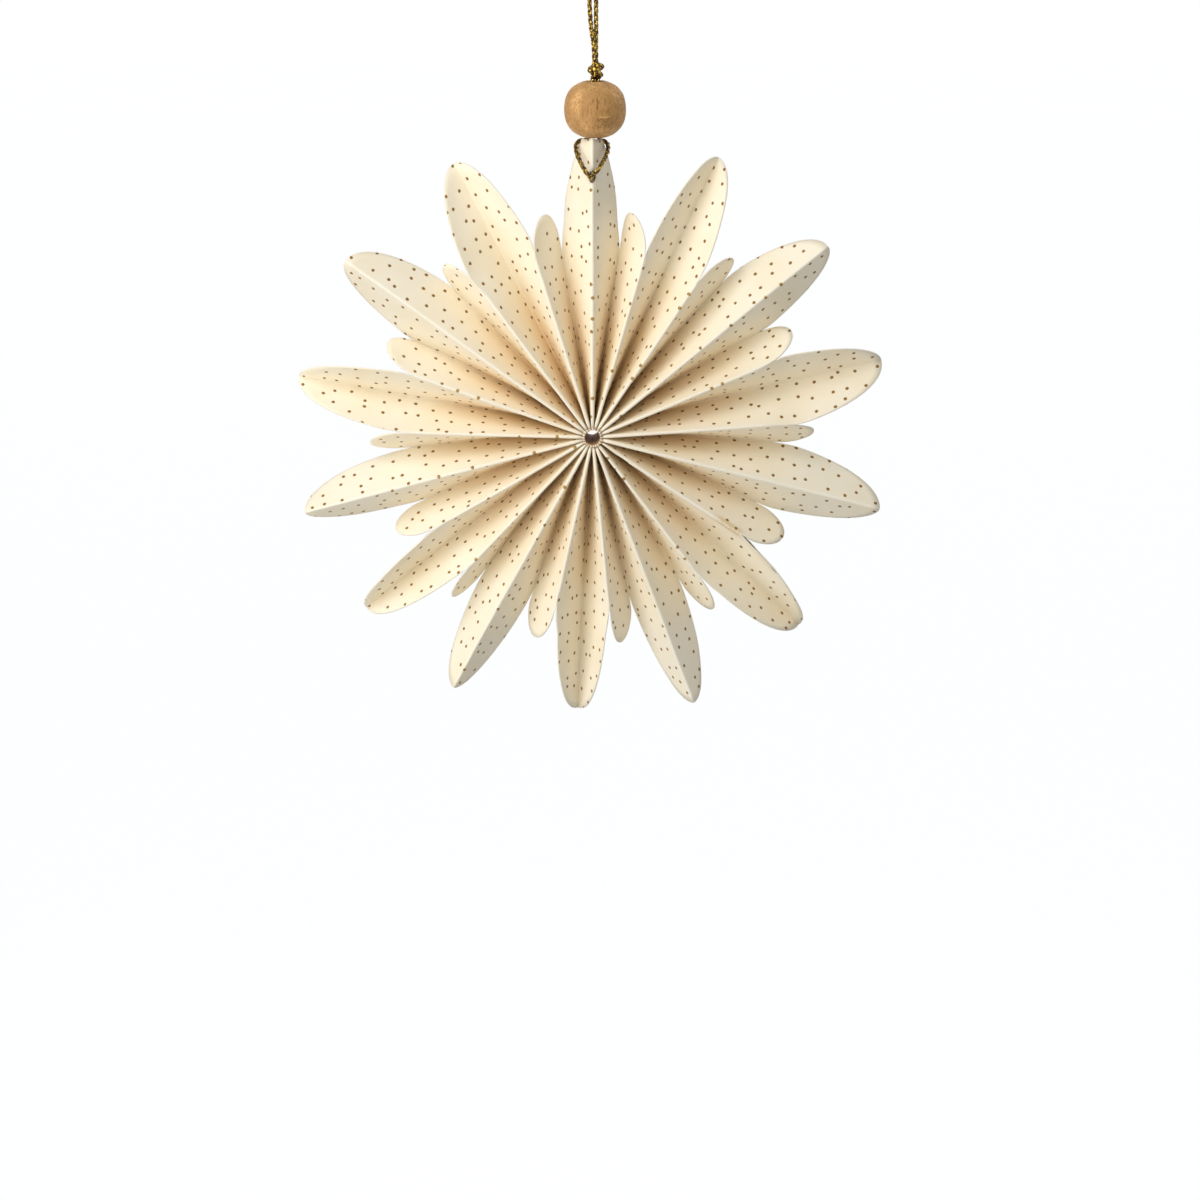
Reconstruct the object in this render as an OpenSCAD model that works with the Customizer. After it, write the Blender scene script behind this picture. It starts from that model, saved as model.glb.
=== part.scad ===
// Pleated paper star with a wooden bead and a metallic hanging cord.
// The star hangs in the XZ plane and faces -Y. The origin is the inside top of the cord's loop.

/* [Paper] */
// Number of long petals, three pleat faces to each
petals = 14; // [12:2:16]
// Thickness of the paper
paper_t = 0.25; // [0.2:0.05:0.28]
// Width of one pleat face, measured flat
pleat_w = 10; // [9.5:0.25:11]
// Radius of the bend along each crease
crease_r = 0.45; // [0.35:0.05:0.5]
// Radius at which the pleats start round the hub
hub_r = 1.95; // [1.95:0.05:2.4]
// Radius of the notches between petals
notch_r = 36.6; // [32:0.2:40]
// Radius of the short petals' tips
short_r = 44.9; // [42:0.1:50]
// Radius of the long petals' tips
tip_r = 60.2; // [54:0.2:66]
// Radius to which the outline of the petal that carries the cord runs
top_tip_r = 60.8; // [60:0.1:62]
// Radius at which that petal's tip is trimmed flat under the bead
top_end_r = 59.1; // [54:0.1:59.1]
// Roundness of the petal outline, 2 is an ellipse
petal_power = 2.2; // [1.8:0.1:2.6]
// How much narrower each short petal's face stands than the even pitch, in degrees
short_close = 1; // [0:0.25:1.5]
// How far the cord draws the tip of its petal together, as a share of the petal's width
tip_pinch = 0.16; // [0:0.02:0.3]
// How far the star dishes backwards for each millimetre of radius
dish = 0.035; // [0:0.005:0.05]
// How far past the notches a petal keeps opening
ease_r = 5; // [2:0.5:8]
// Width of the seam's end where it wraps over its crease
seam_lip = 0.9; // [0.5:0.1:1.2]
// Radius at which the seam's second layer starts
seam_start_r = 9; // [8:0.5:12]

/* [Hub glue] */
// Diameter of the open hole through the hub
hub_bore_d = 3.1; // [2:0.1:3.4]
// Radius of the glue's rim on the front of the pleats
glue_rim_r = 2.2; // [2.1:0.05:2.8]
// Height of the glue's rim
glue_rim_t = 0.35; // [0.2:0.05:0.4]

/* [Hanging hole] */
// Diameter of the punched hole
hang_hole_d = 2.5; // [2.4:0.1:2.8]
// Height of the punched hole above the hub
hang_hole_z = 51.95; // [51.9:0.05:52]

/* [Bead] */
// Diameter of the bead
bead_d = 12.2; // [10:0.1:13]
// Height of the bead along its bore
bead_h = 11.4; // [10:0.1:11.4]
// Bore of the bead
bead_bore = 3.4; // [3.2:0.1:4]
// Chamfer at each end of the bore
bore_chamfer = 0.45; // [0.2:0.05:0.6]
// Squareness of the bead's side, 2 is a plain ellipse
bead_power = 2.35; // [2:0.05:3]

/* [Cord] */
// Diameter of the cord
cord_d = 0.9; // [0.7:0.05:0.9]
// Radius of the top knot's lumps
knot_lump_r = 0.86; // [0.7:0.02:0.95]
// Radius of the back knot's lumps
back_lump_r = 0.75; // [0.6:0.05:0.8]

/* [Hidden] */
$fn = 48;

// Distance from the origin down to the hub
hub_drop = 95.5;
// The hub's front stands this far in front of the cord's plane
hub_y = -5.4;
// Running gap between pieces that only touch
seat_gap = 0.02;

// Each long petal's turn away from its even place, clockwise from the top, in degrees
petal_lean = [0, -0.9, -0.6, -0.1, 2.2, 6.2, 5.5, 2.8, 2.6, -0.9, -2.5, -2.9, -2.7, -1.3];
// Each long petal's opening past the notches, as a share of the even one
petal_open = [0.88, 1, 1.07, 1.12, 1.01, 0.9, 0.95, 0.86, 0.95, 0.92, 0.96, 1, 1.08, 1.12];
// Each short petal's bend to the side at its tip, clockwise, in degrees
short_bend = [-2.3, 0.7, -0.6, -0.8, -0.4, -0.5, 1, -0.1, -0.1, 0.3, -0.1, 0.8, -0.5, 1.3];
// The top petal starts to draw together at this radius
pinch_start_r = 48;

folds = 3 * petals;
pitch = 360 / folds;
open_r = notch_r + ease_r / 2;

// Value of a petal in a list, and the lean of a fold, taken evenly between the two petals beside it
function of_petal(list, k, usual) = k % petals < len(list) ? list[k % petals] : usual;
function lean(s) = let (k = floor(s), t = s - k)
    of_petal(petal_lean, k, 0) * (1 - t) + of_petal(petal_lean, k + 1, 0) * t;
function fold_az(i) = i * pitch + lean(i / 3) + [0, 0.5, -0.5][i % 3] * short_close;

// Radius that sets how wide the pleats stand: it stops growing soon after the notches
function spread_r(r) = r < notch_r ? r
    : r < notch_r + ease_r ? r - pow(r - notch_r, 2) / (2 * ease_r)
    : open_r;
// How far radius r has come on the way from one radius to another
function share(r, from, to) = min(1, max(0, (r - from) / (to - from)));
// Opening of face i at radius r: past the notches each long petal opens by its own share
function petal_of(i) = floor((i + 1) / 3) % petals;
function pinched(i, r) = petal_of(i) == 0 ? 1 - tip_pinch * share(r, pinch_start_r, top_end_r) : 1;
function opening(i, r) = i % 3 == 1 ? 1
    : (1 + (of_petal(petal_open, petal_of(i), 1) - 1) * share(r, notch_r, notch_r + ease_r)) * pinched(i, r);
// Width that a face takes up across the star, its depth, and where its mountain side stands
function face_w(i, r) = 2 * spread_r(r) * sin(pitch / 2) * opening(i, r);
function depth(i, r) = sqrt(pow(pleat_w, 2) - pow(face_w(i, r), 2));
function front_y(i, r) = hub_y + (pleat_w - depth(i, r)) / 2 + dish * r;

// Cut edge of the flat strip, v is the distance from a petal's middle over its half width
function petal_edge(v, tip) = notch_r + (tip - notch_r) * pow(max(0, 1 - v * v), 1 / petal_power);
function long_edge(k, v) = k % petals == 0 ? min(top_end_r, petal_edge(v, top_tip_r)) : petal_edge(v, tip_r);
function edge_r(i, f) = i % 3 == 0 ? long_edge(i / 3, f)
    : i % 3 == 2 ? long_edge((i + 1) / 3, 1 - f)
    : petal_edge(abs(2 * f - 1), short_r);

// Section of one face from mountain to valley at flat fraction f: [across, depth, normal across, normal out]
function face_point(f, w, d) =
    let (rho = min(crease_r, 0.49 * w),
         big = sqrt(w * w + pow(d - 2 * rho, 2)),
         beta = acos(2 * rho / big) - atan2(d - 2 * rho, w),
         arc = rho * (90 - beta) * PI / 180,
         flat = sqrt(big * big - 4 * rho * rho),
         s = f * (2 * arc + flat))
    s < arc ? let (a = s / rho * 180 / PI)
        [rho * sin(a), rho - rho * cos(a), sin(a), cos(a)]
    : s > arc + flat ? let (a = (2 * arc + flat - s) / rho * 180 / PI)
        [w - rho * sin(a), d - rho + rho * cos(a), sin(a), cos(a)]
    : [rho * cos(beta) + (s - arc) * sin(beta),
       rho - rho * sin(beta) + (s - arc) * cos(beta), cos(beta), sin(beta)];

// Place on the folded sheet: face i, flat fraction f, radius r, off is the height above the paper's middle
function sheet_point(i, f, r, off) =
    let (even = i % 2 == 0,
         w = face_w(i, r),
         p = face_point(even ? f : 1 - f, w, depth(i, r)),
         turn = even ? 1 : -1,
         mount_az = fold_az(even ? i : i + 1),
         step_az = fold_az(i + 1) - fold_az(i),
         narrow = spread_r(r) / r * opening(i, r),
         bend = i % 3 == 1 ? of_petal(short_bend, petal_of(i), 0) * pow(share(r, notch_r, short_r), 2) : 0,
         mid_az = i % 3 == 0 ? fold_az(i) : i % 3 == 2 ? fold_az(i + 1) : (fold_az(i) + fold_az(i + 1)) / 2,
         az = mid_az + (mount_az - mid_az + turn * step_az * p[0] / w) * narrow + bend,
         side = turn * p[2] * off,
         out = p[3] * off,
         y = front_y(i, r) + p[1] - out)
    [r * sin(az) + side * cos(az), y, r * cos(az) - side * sin(az)];

// Columns across each kind of face, as flat fractions of its width
long_cols = [0, 0.025, 0.05, 0.26, 0.5, 0.7, 0.86, 0.97];
back_cols = [0, 0.03, 0.14, 0.3, 0.5, 0.74, 0.95, 0.975];
short_cols = [0, 0.03, 0.12, 0.28, 0.5, 0.72, 0.88, 0.97];
// The two faces with the punched hole have columns at 30 and 60 degrees of its rim and at the trimmed tip's corner
rim_30 = hang_hole_d / 2 * sin(30) / pleat_w;
rim_60 = hang_hole_d / 2 * sin(60) / pleat_w;
trim_f = sqrt(1 - pow((top_end_r - notch_r) / (top_tip_r - notch_r), petal_power));
corner_f = max(0.22, min(0.6, trim_f));
hole_right_cols = [0, rim_30, rim_60, (rim_60 + corner_f) / 2, corner_f, 0.68, 0.85, 0.97];
hole_left_cols = [0, 0.03, 0.15, 0.32, 1 - corner_f, 1 - (rim_60 + corner_f) / 2, 1 - rim_60, 1 - rim_30];
function cols_of(i) = i == 0 ? hole_right_cols : i == folds - 1 ? hole_left_cols
    : i % 3 == 0 ? long_cols : i % 3 == 2 ? back_cols : short_cols;

// Rows along the radius, as shares of a column's length
rows = [0, 0.06, 0.16, 0.32, 0.5, 0.66, 0.83, 1];
hole_rows = [0, 0.07, 0.2, 0.42, 0.64];
hole_row = len(hole_rows);
// Radii of a column's rows: beside the punched hole two of them follow its rim
function from_ridge(c) = c[0] == 0 ? c[1] : c[0] == folds - 1 ? 1 - c[1] : 1;
function hole_half(c) = sqrt(pow(hang_hole_d / 2, 2) - pow(from_ridge(c) * pleat_w, 2));
function row_radii(c) = let (edge = edge_r(c[0], c[1]))
    from_ridge(c) < rim_60 + 0.001
        ? concat([for (t = hole_rows) c[3] + (edge - c[3]) * t],
                 [hang_hole_z - hole_half(c), hang_hole_z + hole_half(c), edge])
        : [for (t = rows) c[3] + (edge - c[3]) * t];

// The strip starts as the glue flap behind the seam's face and ends just over the seam's crease
seam_fold = 14;
flap_cols = concat(
    [for (f = [0.12, 0.3, 0.5, 0.7, 0.88, 0.96]) [seam_fold - 1, f, 1, seam_start_r]],
    [for (f = [0, 0.05]) [seam_fold, f, 1, seam_start_r]],
    [[seam_fold, 0.14, 0.7, hub_r], [seam_fold, 0.3, 0.1, hub_r]]);
lip_cols = [for (f = [0, 0.4, 1]) [seam_fold, f * seam_lip / pleat_w, 0, f > 0 ? seam_start_r : hub_r]];
// Each column is [face, flat fraction, share of the flap's sink, radius at which it starts]
strip_cols = concat(flap_cols,
    [for (f = cols_of(seam_fold)) if (f > 0.4) [seam_fold, f, 0, hub_r]],
    [for (k = [seam_fold + 1 : seam_fold + folds - 1], f = cols_of(k % folds)) [k % folds, f, 0, hub_r]],
    lip_cols);
n_cols = len(strip_cols);
n_rows = len(rows);
layer_size = n_cols * n_rows;
hole_first = [for (k = [0 : n_cols - 1])
    if (strip_cols[k][0] == folds - 1 && abs(strip_cols[k][1] - 1 + rim_60) < 0.001) k][0];
hole_last = hole_first + 4;

// The flap lies one paper and its glue behind the sheet, and rises to it near the hub
function flap_sink(c, r) = c[2] * (paper_t + seat_gap) * min(1, max(0, (r - seam_start_r) / 3 + 1));
function layer(off) = [for (c = strip_cols, r = row_radii(c)) sheet_point(c[0], c[1], r, off - flap_sink(c, r))];

// Triangles of a quad, and the quads of the front, the back, a cut edge along the strip and one across it
function quad(a, b, c, d) = [[a, c, b], [a, d, c]];
function at(c, j) = c * n_rows + j;
function front_quad(c, j) = quad(at(c, j), at(c + 1, j), at(c + 1, j + 1), at(c, j + 1));
function back_quad(c, j) = let (b = layer_size) quad(b + at(c, j), b + at(c, j + 1), b + at(c + 1, j + 1), b + at(c + 1, j));
function inner_edge(c, j) = let (b = layer_size) quad(at(c, j), b + at(c, j), b + at(c + 1, j), at(c + 1, j));
function outer_edge(c, j) = let (b = layer_size) quad(at(c, j), at(c + 1, j), b + at(c + 1, j), b + at(c, j));
function start_edge(c, j) = let (b = layer_size) quad(at(c, j), at(c, j + 1), b + at(c, j + 1), b + at(c, j));
function end_edge(c, j) = let (b = layer_size) quad(at(c, j), b + at(c, j), b + at(c, j + 1), at(c, j + 1));
function in_hole(c, j) = c >= hole_first && c < hole_last && j == hole_row;
sheet_faces = [
    for (c = [0 : n_cols - 2], j = [0 : n_rows - 2]) if (!in_hole(c, j))
        each concat(front_quad(c, j), back_quad(c, j)),
    for (c = [0 : n_cols - 2]) each concat(inner_edge(c, 0), outer_edge(c, n_rows - 1)),
    for (j = [0 : n_rows - 2]) each concat(start_edge(0, j), end_edge(n_cols - 1, j)),
    for (c = [hole_first : hole_last - 1])
        each concat(outer_edge(c, hole_row), inner_edge(c, hole_row + 1)),
    each end_edge(hole_first, hole_row),
    each start_edge(hole_last, hole_row)];

module star_paper() {
    color("ivory")
    translate([0, 0, -hub_drop])
    polyhedron(points = concat(layer(paper_t / 2), layer(-paper_t / 2)), faces = sheet_faces);
}

// Hot glue that lines the hub and holds the creases, with a low rim on the front
module hub_glue() {
    front = hub_y + dish * hub_r - paper_t / 2 - seat_gap;
    back = hub_y + pleat_w;
    color("wheat")
    translate([0, 0, -hub_drop])
    rotate([-90, 0, 0])
    difference() {
        union() {
            translate([0, 0, front])
            cylinder(r = hub_r - seat_gap, h = back - front);
            translate([0, 0, front - glue_rim_t])
            cylinder(r1 = glue_rim_r - glue_rim_t, r2 = glue_rim_r, h = glue_rim_t);
        }
        translate([0, 0, front - 1])
        cylinder(d = hub_bore_d, h = back - front + 2);
    }
}

// Turned bead, standing on the petal's tip
bead_x = 0.6;
bead_seat = 0.1;
bead_z = top_end_r + bead_seat + bead_h / 2;
bead_steps = 18;

module wood_bead() {
    side = [for (k = [-bead_steps : bead_steps]) let (a = 90 * k / bead_steps)
        [bead_d / 2 * pow(cos(a), 2 / bead_power), bead_h / 2 * sign(a) * pow(abs(sin(a)), 2 / bead_power)]];
    mouth = bead_bore / 2 + bore_chamfer;
    color("burlywood")
    translate([bead_x, 0, bead_z - hub_drop])
    difference() {
        rotate_extrude()
        polygon(side);
        translate([0, 0, -bead_h])
        cylinder(d = bead_bore, h = 2 * bead_h);
        for (m = [0, 1])
            mirror([0, 0, m])
            translate([0, 0, bead_h / 2 - bore_chamfer * 1.5])
            cylinder(r1 = bead_bore / 2, r2 = mouth + bore_chamfer / 2, h = bore_chamfer * 1.5);
    }
}

// Overhand knot of both strands on top of the bead
knot_bottom = 70.9;
knot_top = 74.3;
knot_core_r = 0.95;
knot_x = 0.65;
knot_lumps = [[-0.95, -0.35, 2.05], [0.95, -0.3, 2.35], [0.95, -0.35, 0.9], [0.05, -0.75, 1.6], [0, 0.75, 1.7]];

module top_knot() {
    color("goldenrod")
    translate([knot_x, 0, knot_bottom - hub_drop]) {
        cylinder(r = knot_core_r, h = knot_top - knot_bottom);
        for (p = knot_lumps)
            translate(p)
            rotate([90, 0, 0])
            sphere(r = knot_lump_r);
    }
}

// Knot of the cord's two ends, tucked inside the petal's crease behind the punched hole
back_knot_y = -0.7;
back_knot_drop = 0.65;
back_knot_h = 1.9;
back_knot_r = 1;
back_lumps = [[-0.6, 1.35, 0.35], [0.65, 1.3, -0.3], [0, 1.5, -0.7], [0.05, 1.55, 0.75]];

module back_knot() {
    color("goldenrod")
    translate([0, back_knot_y, hang_hole_z - back_knot_drop - hub_drop]) {
        rotate([-90, 0, 0])
        cylinder(r = back_knot_r, h = back_knot_h);
        for (p = back_lumps)
            translate(p)
            sphere(r = back_lump_r);
    }
}

// Cord routes, with heights above the hub
left_route = [
    [0, -0.7, 50.8], [-0.05, -1.35, 51.1], [-0.05, -2, 51.35], [-0.2, -2.75, 51.65], [-0.4, -3.45, 51.95],
    [-0.75, -3.95, 52.4], [-1.2, -4, 53], [-1.6, -3.55, 53.6], [-1.95, -2.8, 54.15], [-2.3, -1.95, 54.75],
    [-2.65, -1.05, 55.4], [-2.95, -0.2, 56.15], [-3.15, 0.65, 56.9], [-3.15, 1.5, 57.6], [-2.85, 2.25, 58.1],
    [-2.25, 2.65, 58.4], [-1.55, 2.45, 58.55], [-0.95, 1.9, 58.7], [-0.45, 1.2, 59.1], [-0.1, 0.6, 59.75],
    [0.05, 0.2, 60.6], [0.1, 0, 61.6], [0.1, 0, 62.8], [0.1, 0, 64.5], [0.1, 0, 66.5], [0.1, 0, 68.5],
    [0.15, 0, 70.9]];
right_route = [
    [0.05, -0.7, 51.75], [0.05, -1.35, 52.05], [0.1, -2, 52.3], [0.25, -2.75, 52.5], [0.45, -3.45, 52.75],
    [0.8, -4, 53.15], [1.25, -4.1, 53.7], [1.65, -3.7, 54.25], [2.05, -3, 54.8], [2.4, -2.2, 55.3],
    [2.7, -1.35, 55.8], [3, -0.45, 56.35], [3.15, 0.4, 56.95], [3.2, 1.25, 57.5], [3, 2.05, 57.95],
    [2.5, 2.6, 58.25], [1.9, 2.5, 58.5], [1.5, 1.95, 58.7], [1.25, 1.3, 59.05], [1.15, 0.7, 59.65],
    [1.1, 0.25, 60.5], [1.1, 0, 61.6], [1.1, 0, 62.8], [1.1, 0, 64.5], [1.1, 0, 66.5], [1.1, 0, 68.5],
    [1.15, 0, 70.9]];
loop_route = [
    [0.45, -0.42, 74.3], [0.42, -0.45, 75.8], [0.35, -0.5, 77.2], [0.15, -0.5, 78.7], [-0.1, -0.42, 80.4],
    [-0.3, -0.3, 82.4], [-0.42, -0.2, 84.4], [-0.52, -0.1, 86.6], [-0.7, 0, 88.8], [-1.1, 0, 90.8],
    [-1.65, 0, 92.4], [-1.98, 0, 93.7], [-1.72, 0, 94.9], [-0.95, 0, 95.7], [0, 0, 95.95],
    [0.95, 0, 95.7], [1.72, 0, 94.9], [1.98, 0, 93.7], [1.7, 0, 92.4], [1.25, 0, 90.8],
    [0.98, 0.02, 88.8], [0.85, 0.1, 86.6], [0.8, 0.2, 84.4], [0.8, 0.3, 82.4], [0.82, 0.38, 80.4],
    [0.8, 0.45, 78.7], [0.78, 0.5, 77.2], [0.8, 0.48, 75.8], [0.82, 0.46, 74.3]];
cord_sides = 8;

function unit(v) = v / norm(v);
function route_dirs(pts) = [for (k = [0 : len(pts) - 1])
    unit(pts[min(k + 1, len(pts) - 1)] - pts[max(k - 1, 0)])];
function square_to(n, t) = unit(n - (n * t) * t);
function carried(dirs, n, k = 0) = k == len(dirs) ? []
    : let (m = square_to(n, dirs[k])) concat([m], carried(dirs, m, k + 1));

// One tube swept along a route, its ends square to end_dir
module cord_tube(route, first_dir, last_dir) {
    last = len(route) - 1;
    free = route_dirs(route);
    dirs = [for (k = [0 : last]) k == 0 ? first_dir : k == last ? last_dir : free[k]];
    ups = carried(dirs, square_to([0.3, 0.2, 1], first_dir));
    rings = [for (k = [0 : last], s = [0 : cord_sides - 1])
        let (a = 360 * s / cord_sides)
        route[k] + cord_d / 2 * (cos(a) * ups[k] + sin(a) * cross(dirs[k], ups[k]))];
    sides = [for (k = [0 : last - 1], s = [0 : cord_sides - 1])
        let (a = k * cord_sides + s, b = k * cord_sides + (s + 1) % cord_sides)
        each [[a, a + cord_sides, b], [b, a + cord_sides, b + cord_sides]]];
    first_cap = [[for (s = [0 : cord_sides - 1]) s]];
    last_cap = [[for (s = [cord_sides - 1 : -1 : 0]) last * cord_sides + s]];
    color("darkgoldenrod")
    translate([0, 0, -hub_drop])
    polyhedron(points = rings, faces = concat(sides, first_cap, last_cap));
}

module cord_lower_left() {
    cord_tube(left_route, [0, -1, 0], [0, 0, 1]);
}

module cord_lower_right() {
    cord_tube(right_route, [0, -1, 0], [0, 0, 1]);
}

module cord_hanging_loop() {
    cord_tube(loop_route, [0, 0, 1], [0, 0, -1]);
}

star_paper();
hub_glue();
wood_bead();
top_knot();
back_knot();
cord_lower_left();
cord_lower_right();
cord_hanging_loop();
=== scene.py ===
# Pleated paper star with a glued hub, a turned wooden bead and a twisted metallic cord
import math
import bmesh
import bpy
from mathutils import Matrix, Vector, noise


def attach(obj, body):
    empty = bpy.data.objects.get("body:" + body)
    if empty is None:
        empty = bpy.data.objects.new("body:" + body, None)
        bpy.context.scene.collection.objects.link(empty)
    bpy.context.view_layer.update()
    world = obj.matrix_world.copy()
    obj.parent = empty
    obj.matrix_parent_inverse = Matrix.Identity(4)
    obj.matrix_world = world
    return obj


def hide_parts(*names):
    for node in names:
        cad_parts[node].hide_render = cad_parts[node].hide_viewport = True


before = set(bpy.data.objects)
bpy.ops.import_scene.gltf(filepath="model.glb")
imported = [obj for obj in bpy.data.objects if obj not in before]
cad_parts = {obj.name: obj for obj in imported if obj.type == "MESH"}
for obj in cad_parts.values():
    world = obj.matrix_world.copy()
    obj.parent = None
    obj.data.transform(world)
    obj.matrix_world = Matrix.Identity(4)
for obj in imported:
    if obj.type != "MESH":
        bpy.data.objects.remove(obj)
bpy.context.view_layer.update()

mm = 0.001


# Values that a user of this scene would change, one dictionary for each piece. Lengths are in millimetres.
star = {
    "petals": 14,
    "paper": 0.25,          # thickness of the sheet
    "pleat": 10.0,          # width of one pleat face, flat
    "crease": 0.22,         # bend radius along a crease
    "hubRadius": 1.95,
    "notch": 36.6,
    "shortTip": 44.9,
    "longTip": 60.2,
    "topTip": 60.8,         # the top petal's outline runs to here
    "topEnd": 59.1,         # and is trimmed here, under the bead
    "topRise": 0.5,         # more at the ridge, where the bead curves up
    "topRiseTo": 0.16,      # share of the face over which that fades
    "outline": 2.2,         # roundness of the petal outline
    "shortClose": 1.0,      # degrees by which a short petal stands narrower
    "pinch": 0.16,          # how far the cord draws the top petal together
    "pinchStart": 48.0,
    "dish": 0.035,
    "ease": 5.0,
    "lip": 0.9,
    "seamStart": 9.0,
    "seamFold": 14,
    "glueGap": 0.02,
    "hubDrop": 95.5,        # from the origin down to the hub
    "hubY": -5.4,
    "holeAcross": 2.5,
    "holeHeight": 51.95,
    "lean": [0, -0.9, -0.6, -0.1, 2.2, 6.2, 5.5, 2.8, 2.6, -0.9, -2.5, -2.9, -2.7, -1.3],
    "open": [0.88, 1, 1.07, 1.12, 1.01, 0.9, 0.95, 0.86, 0.95, 0.92, 0.96, 1, 1.08, 1.12],
    "shortBend": [-2.3, 0.7, -0.6, -0.8, -0.4, -0.5, 1, -0.1, -0.1, 0.3, -0.1, 0.8, -0.5, 1.3],
    "bow": 0.24,            # how far a face bows out of flat
    "wander": 0.10,         # how far a crease strays sideways
    "looseFrom": 14,        # both grow from this radius
    "looseTo": 40,          # to this one
    "ragged": 0.05,         # unevenness of the cut edge
}
hub = Vector((0, star["hubY"], -star["hubDrop"]))


photo = {
    "side": 1200,               # pixels along each side of the photograph
    "hubPixel": (592.6, 437.7),     # where the front of the hub shows
    "pixelsPerMm": 5.0,
    "distance": 600.0,          # from the camera to the hub
    "elevation": 12.6,
    "turn": 0.7,
    "shift": -0.07,             # part of the hub's height in the frame that the lens shift gives
}


def setCamera(v):
    rise, turn = math.radians(v["elevation"]), math.radians(v["turn"])
    away = Vector((-math.sin(turn) * math.cos(rise), -math.cos(turn) * math.cos(rise), math.sin(rise)))
    right = Vector((0, 0, 1)).cross(away).normalized()
    up = away.cross(right)
    middle = v["side"] / 2
    low = middle - v["hubPixel"][1] + v["shift"] * v["side"]
    aim = hub + (right * (middle - v["hubPixel"][0]) - up * low) / v["pixelsPerMm"]
    spot = hub + away * v["distance"]
    camera = bpy.data.objects.new("camera", bpy.data.cameras.new("camera"))
    camera.data.sensor_width = 36
    camera.data.lens = 36 * v["distance"] * v["pixelsPerMm"] / v["side"]
    camera.data.shift_y = v["shift"]
    camera.data.clip_start, camera.data.clip_end = 0.01, 20
    camera.location = spot * mm
    camera.rotation_mode = "QUATERNION"
    camera.rotation_quaternion = (aim - spot).to_track_quat("-Z", "Y")
    bpy.context.scene.collection.objects.link(camera)
    bpy.context.scene.camera = camera


setCamera(photo)
print("camera set")


# Small helpers for meshes

def smoothStep(low, high, x):
    t = min(1.0, max(0.0, (x - low) / (high - low)))
    return t * t * (3 - 2 * t)


def flatGrid(bm, columns, rows):
    # a flat grid whose vertices hold their column and row as whole numbers
    made = bmesh.ops.create_grid(bm, x_segments=columns - 1, y_segments=rows - 1, size=0.5)
    for vert in made["verts"]:
        vert.co = (round((vert.co.x + 0.5) * (columns - 1)), round((vert.co.y + 0.5) * (rows - 1)), 0)
    return made["verts"]


def finishPiece(name, bm, materials, nodes):
    mesh = bpy.data.meshes.new(name)
    bm.to_mesh(mesh)
    bm.free()
    mesh.transform(Matrix.Scale(mm, 4))
    for face in mesh.polygons:
        face.use_smooth = True
    for material in materials:
        mesh.materials.append(material)
    piece = bpy.data.objects.new(name, mesh)
    bpy.context.scene.collection.objects.link(piece)
    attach(piece, "root")
    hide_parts(*nodes)
    print(name, len(mesh.polygons), "faces")
    return piece


# Cord: its route repeats the points of the part's source, with heights above the hub

cord = {
    "across": 0.9,
    "length": 109.0,
    "plies": 3,
    "lay": 4.25,            # length of one full twist
    "plyRadius": 0.26,
    "plyOut": 0.22,         # how far a ply's middle is from the cord's middle
    "swell": 0.0,           # how much thicker the strand gets away from its ends
    "sides": 10,
    "step": 0.16,           # distance between rings
}
leftRoute = [
    (0, -0.7, 50.8), (-0.05, -1.35, 51.1), (-0.05, -2, 51.35), (-0.2, -2.75, 51.65), (-0.4, -3.45, 51.95),
    (-0.75, -3.95, 52.4), (-1.2, -4, 53), (-1.6, -3.55, 53.6), (-1.95, -2.8, 54.15), (-2.3, -1.95, 54.75),
    (-2.65, -1.05, 55.4), (-2.95, -0.2, 56.15), (-3.15, 0.65, 56.9), (-3.15, 1.5, 57.6), (-2.85, 2.25, 58.1),
    (-2.25, 2.65, 58.4), (-1.55, 2.45, 58.55), (-0.95, 1.9, 58.7), (-0.45, 1.2, 59.1), (-0.1, 0.6, 59.75),
    (0.05, 0.2, 60.6), (0.1, 0, 61.6), (0.1, 0, 62.8), (0.1, 0, 64.5), (0.1, 0, 66.5), (0.1, 0, 68.5),
    (0.15, 0, 70.9)]
rightRoute = [
    (0.05, -0.7, 51.75), (0.05, -1.35, 52.05), (0.1, -2, 52.3), (0.25, -2.75, 52.5), (0.45, -3.45, 52.75),
    (0.8, -4, 53.15), (1.25, -4.1, 53.7), (1.65, -3.7, 54.25), (2.05, -3, 54.8), (2.4, -2.2, 55.3),
    (2.7, -1.35, 55.8), (3, -0.45, 56.35), (3.15, 0.4, 56.95), (3.2, 1.25, 57.5), (3, 2.05, 57.95),
    (2.5, 2.6, 58.25), (1.9, 2.5, 58.5), (1.5, 1.95, 58.7), (1.25, 1.3, 59.05), (1.15, 0.7, 59.65),
    (1.1, 0.25, 60.5), (1.1, 0, 61.6), (1.1, 0, 62.8), (1.1, 0, 64.5), (1.1, 0, 66.5), (1.1, 0, 68.5),
    (1.15, 0, 70.9)]
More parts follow.
